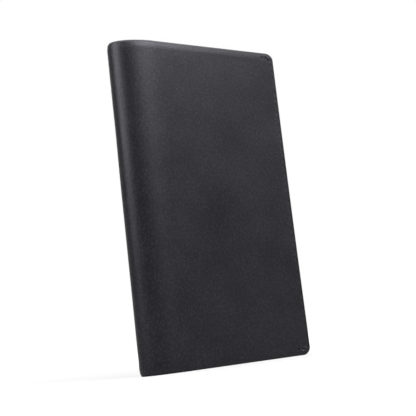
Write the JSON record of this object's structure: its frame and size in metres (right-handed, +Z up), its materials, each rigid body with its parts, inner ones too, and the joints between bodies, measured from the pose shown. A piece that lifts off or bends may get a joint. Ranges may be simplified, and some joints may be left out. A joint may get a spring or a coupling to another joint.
{
  "type": "travel document wallet",
  "caption": "Black leather bifold travel document wallet with a thick rounded spine, passport, card, ticket and zip pockets and a pen loop, standing closed.",
  "frame": {"origin": "middle of the closed wallet's foot, on the surface that it stands on", "axes": "+Z up along the spine, +X from the spine to the fore edge, front cover at -Y and back cover at +Y"},
  "size_m": [0.13, 0.029, 0.222],
  "materials": {
    "leather": "fine smooth grain, low sheen",
    "lining": "black woven lining",
    "board": "grey pasteboard",
    "thread": "black bonded thread",
    "zip_tape": "black woven tape",
    "zip_metal": "nickel plate"
  },
  "bodies": {
    "back_cover": {"back_cover_leather": "leather", "back_cover_board": "board", "back_lining": "lining", "back_seam_thread": "thread", "ticket_pocket_panel": "leather", "ticket_gusset_bottom": "lining", "ticket_gusset_top": "lining", "ticket_gusset_fore": "lining", "zip_pocket_panel": "leather", "zip_gusset_bottom": "lining", "zip_gusset_top": "lining", "zip_gusset_fore": "lining", "zip_gusset_spine": "lining", "zip_tape_spine": "zip_tape", "zip_tape_fore": "zip_tape", "zip_teeth_spine": "zip_metal", "zip_teeth_fore": "zip_metal", "zip_top_stop_spine": "zip_metal", "zip_top_stop_fore": "zip_metal", "zip_bottom_stop": "zip_metal", "pen_loop": "leather"},
    "spine_1": {"spine_leather_1": "leather", "spine_lining_1": "lining"},
    "spine_2": {"spine_leather_2": "leather", "spine_lining_2": "lining"},
    "spine_3": {"spine_leather_3": "leather", "spine_lining_3": "lining"},
    "spine_4": {"spine_leather_4": "leather", "spine_lining_4": "lining"},
    "spine_5": {"spine_leather_5": "leather", "spine_lining_5": "lining"},
    "front_cover": {"front_cover_leather": "leather", "front_cover_board": "board", "front_lining": "lining", "front_seam_thread": "thread", "passport_pocket_panel": "leather", "passport_gusset_bottom": "lining", "passport_gusset_fore": "lining", "passport_gusset_spine": "lining", "card_pocket_base": "leather", "card_slot_1": "leather", "card_slot_2": "leather", "card_slot_3": "leather"},
    "zip_slider": {"zip_slider": "zip_metal"},
    "zip_puller": {"zip_puller": "zip_metal"}
  },
  "joints": [
    {"name": "spine_fold_1", "type": "hinge", "parent": "back_cover", "child": "spine_1", "pos_m": [-0.0497, 0.01278, 0], "axis": [0, 0, -1], "range_deg": [0, 30]},
    {"name": "spine_fold_2", "type": "hinge", "parent": "spine_1", "child": "spine_2", "pos_m": [-0.06194, 0.00648, 0], "axis": [0, 0, -1], "range_deg": [0, 30]},
    {"name": "spine_fold_3", "type": "hinge", "parent": "spine_2", "child": "spine_3", "pos_m": [-0.06474, 0.00193, 0], "axis": [0, 0, -1], "range_deg": [0, 30]},
    {"name": "spine_fold_4", "type": "hinge", "parent": "spine_3", "child": "spine_4", "pos_m": [-0.06474, -0.00193, 0], "axis": [0, 0, -1], "range_deg": [0, 30]},
    {"name": "spine_fold_5", "type": "hinge", "parent": "spine_4", "child": "spine_5", "pos_m": [-0.06194, -0.00648, 0], "axis": [0, 0, -1], "range_deg": [0, 30]},
    {"name": "spine_fold_6", "type": "hinge", "parent": "spine_5", "child": "front_cover", "pos_m": [-0.0497, -0.01278, 0], "axis": [0, 0, -1], "range_deg": [0, 30]},
    {"name": "zip_slide", "type": "slide", "parent": "back_cover", "child": "zip_slider", "axis": [0, 0, -1], "range_m": [0, 0.168]},
    {"name": "puller_swing", "type": "hinge", "parent": "zip_slider", "child": "zip_puller", "pos_m": [-0.011, -0.0007, 0.1967], "axis": [-1, 0, 0], "range_deg": [-4, 11]}
  ],
  "couplings": [
    {"joint": "spine_fold_2", "follows": "spine_fold_1", "ratio": 1},
    {"joint": "spine_fold_3", "follows": "spine_fold_1", "ratio": 1},
    {"joint": "spine_fold_4", "follows": "spine_fold_1", "ratio": 1},
    {"joint": "spine_fold_5", "follows": "spine_fold_1", "ratio": 1},
    {"joint": "spine_fold_6", "follows": "spine_fold_1", "ratio": 1}
  ]
}
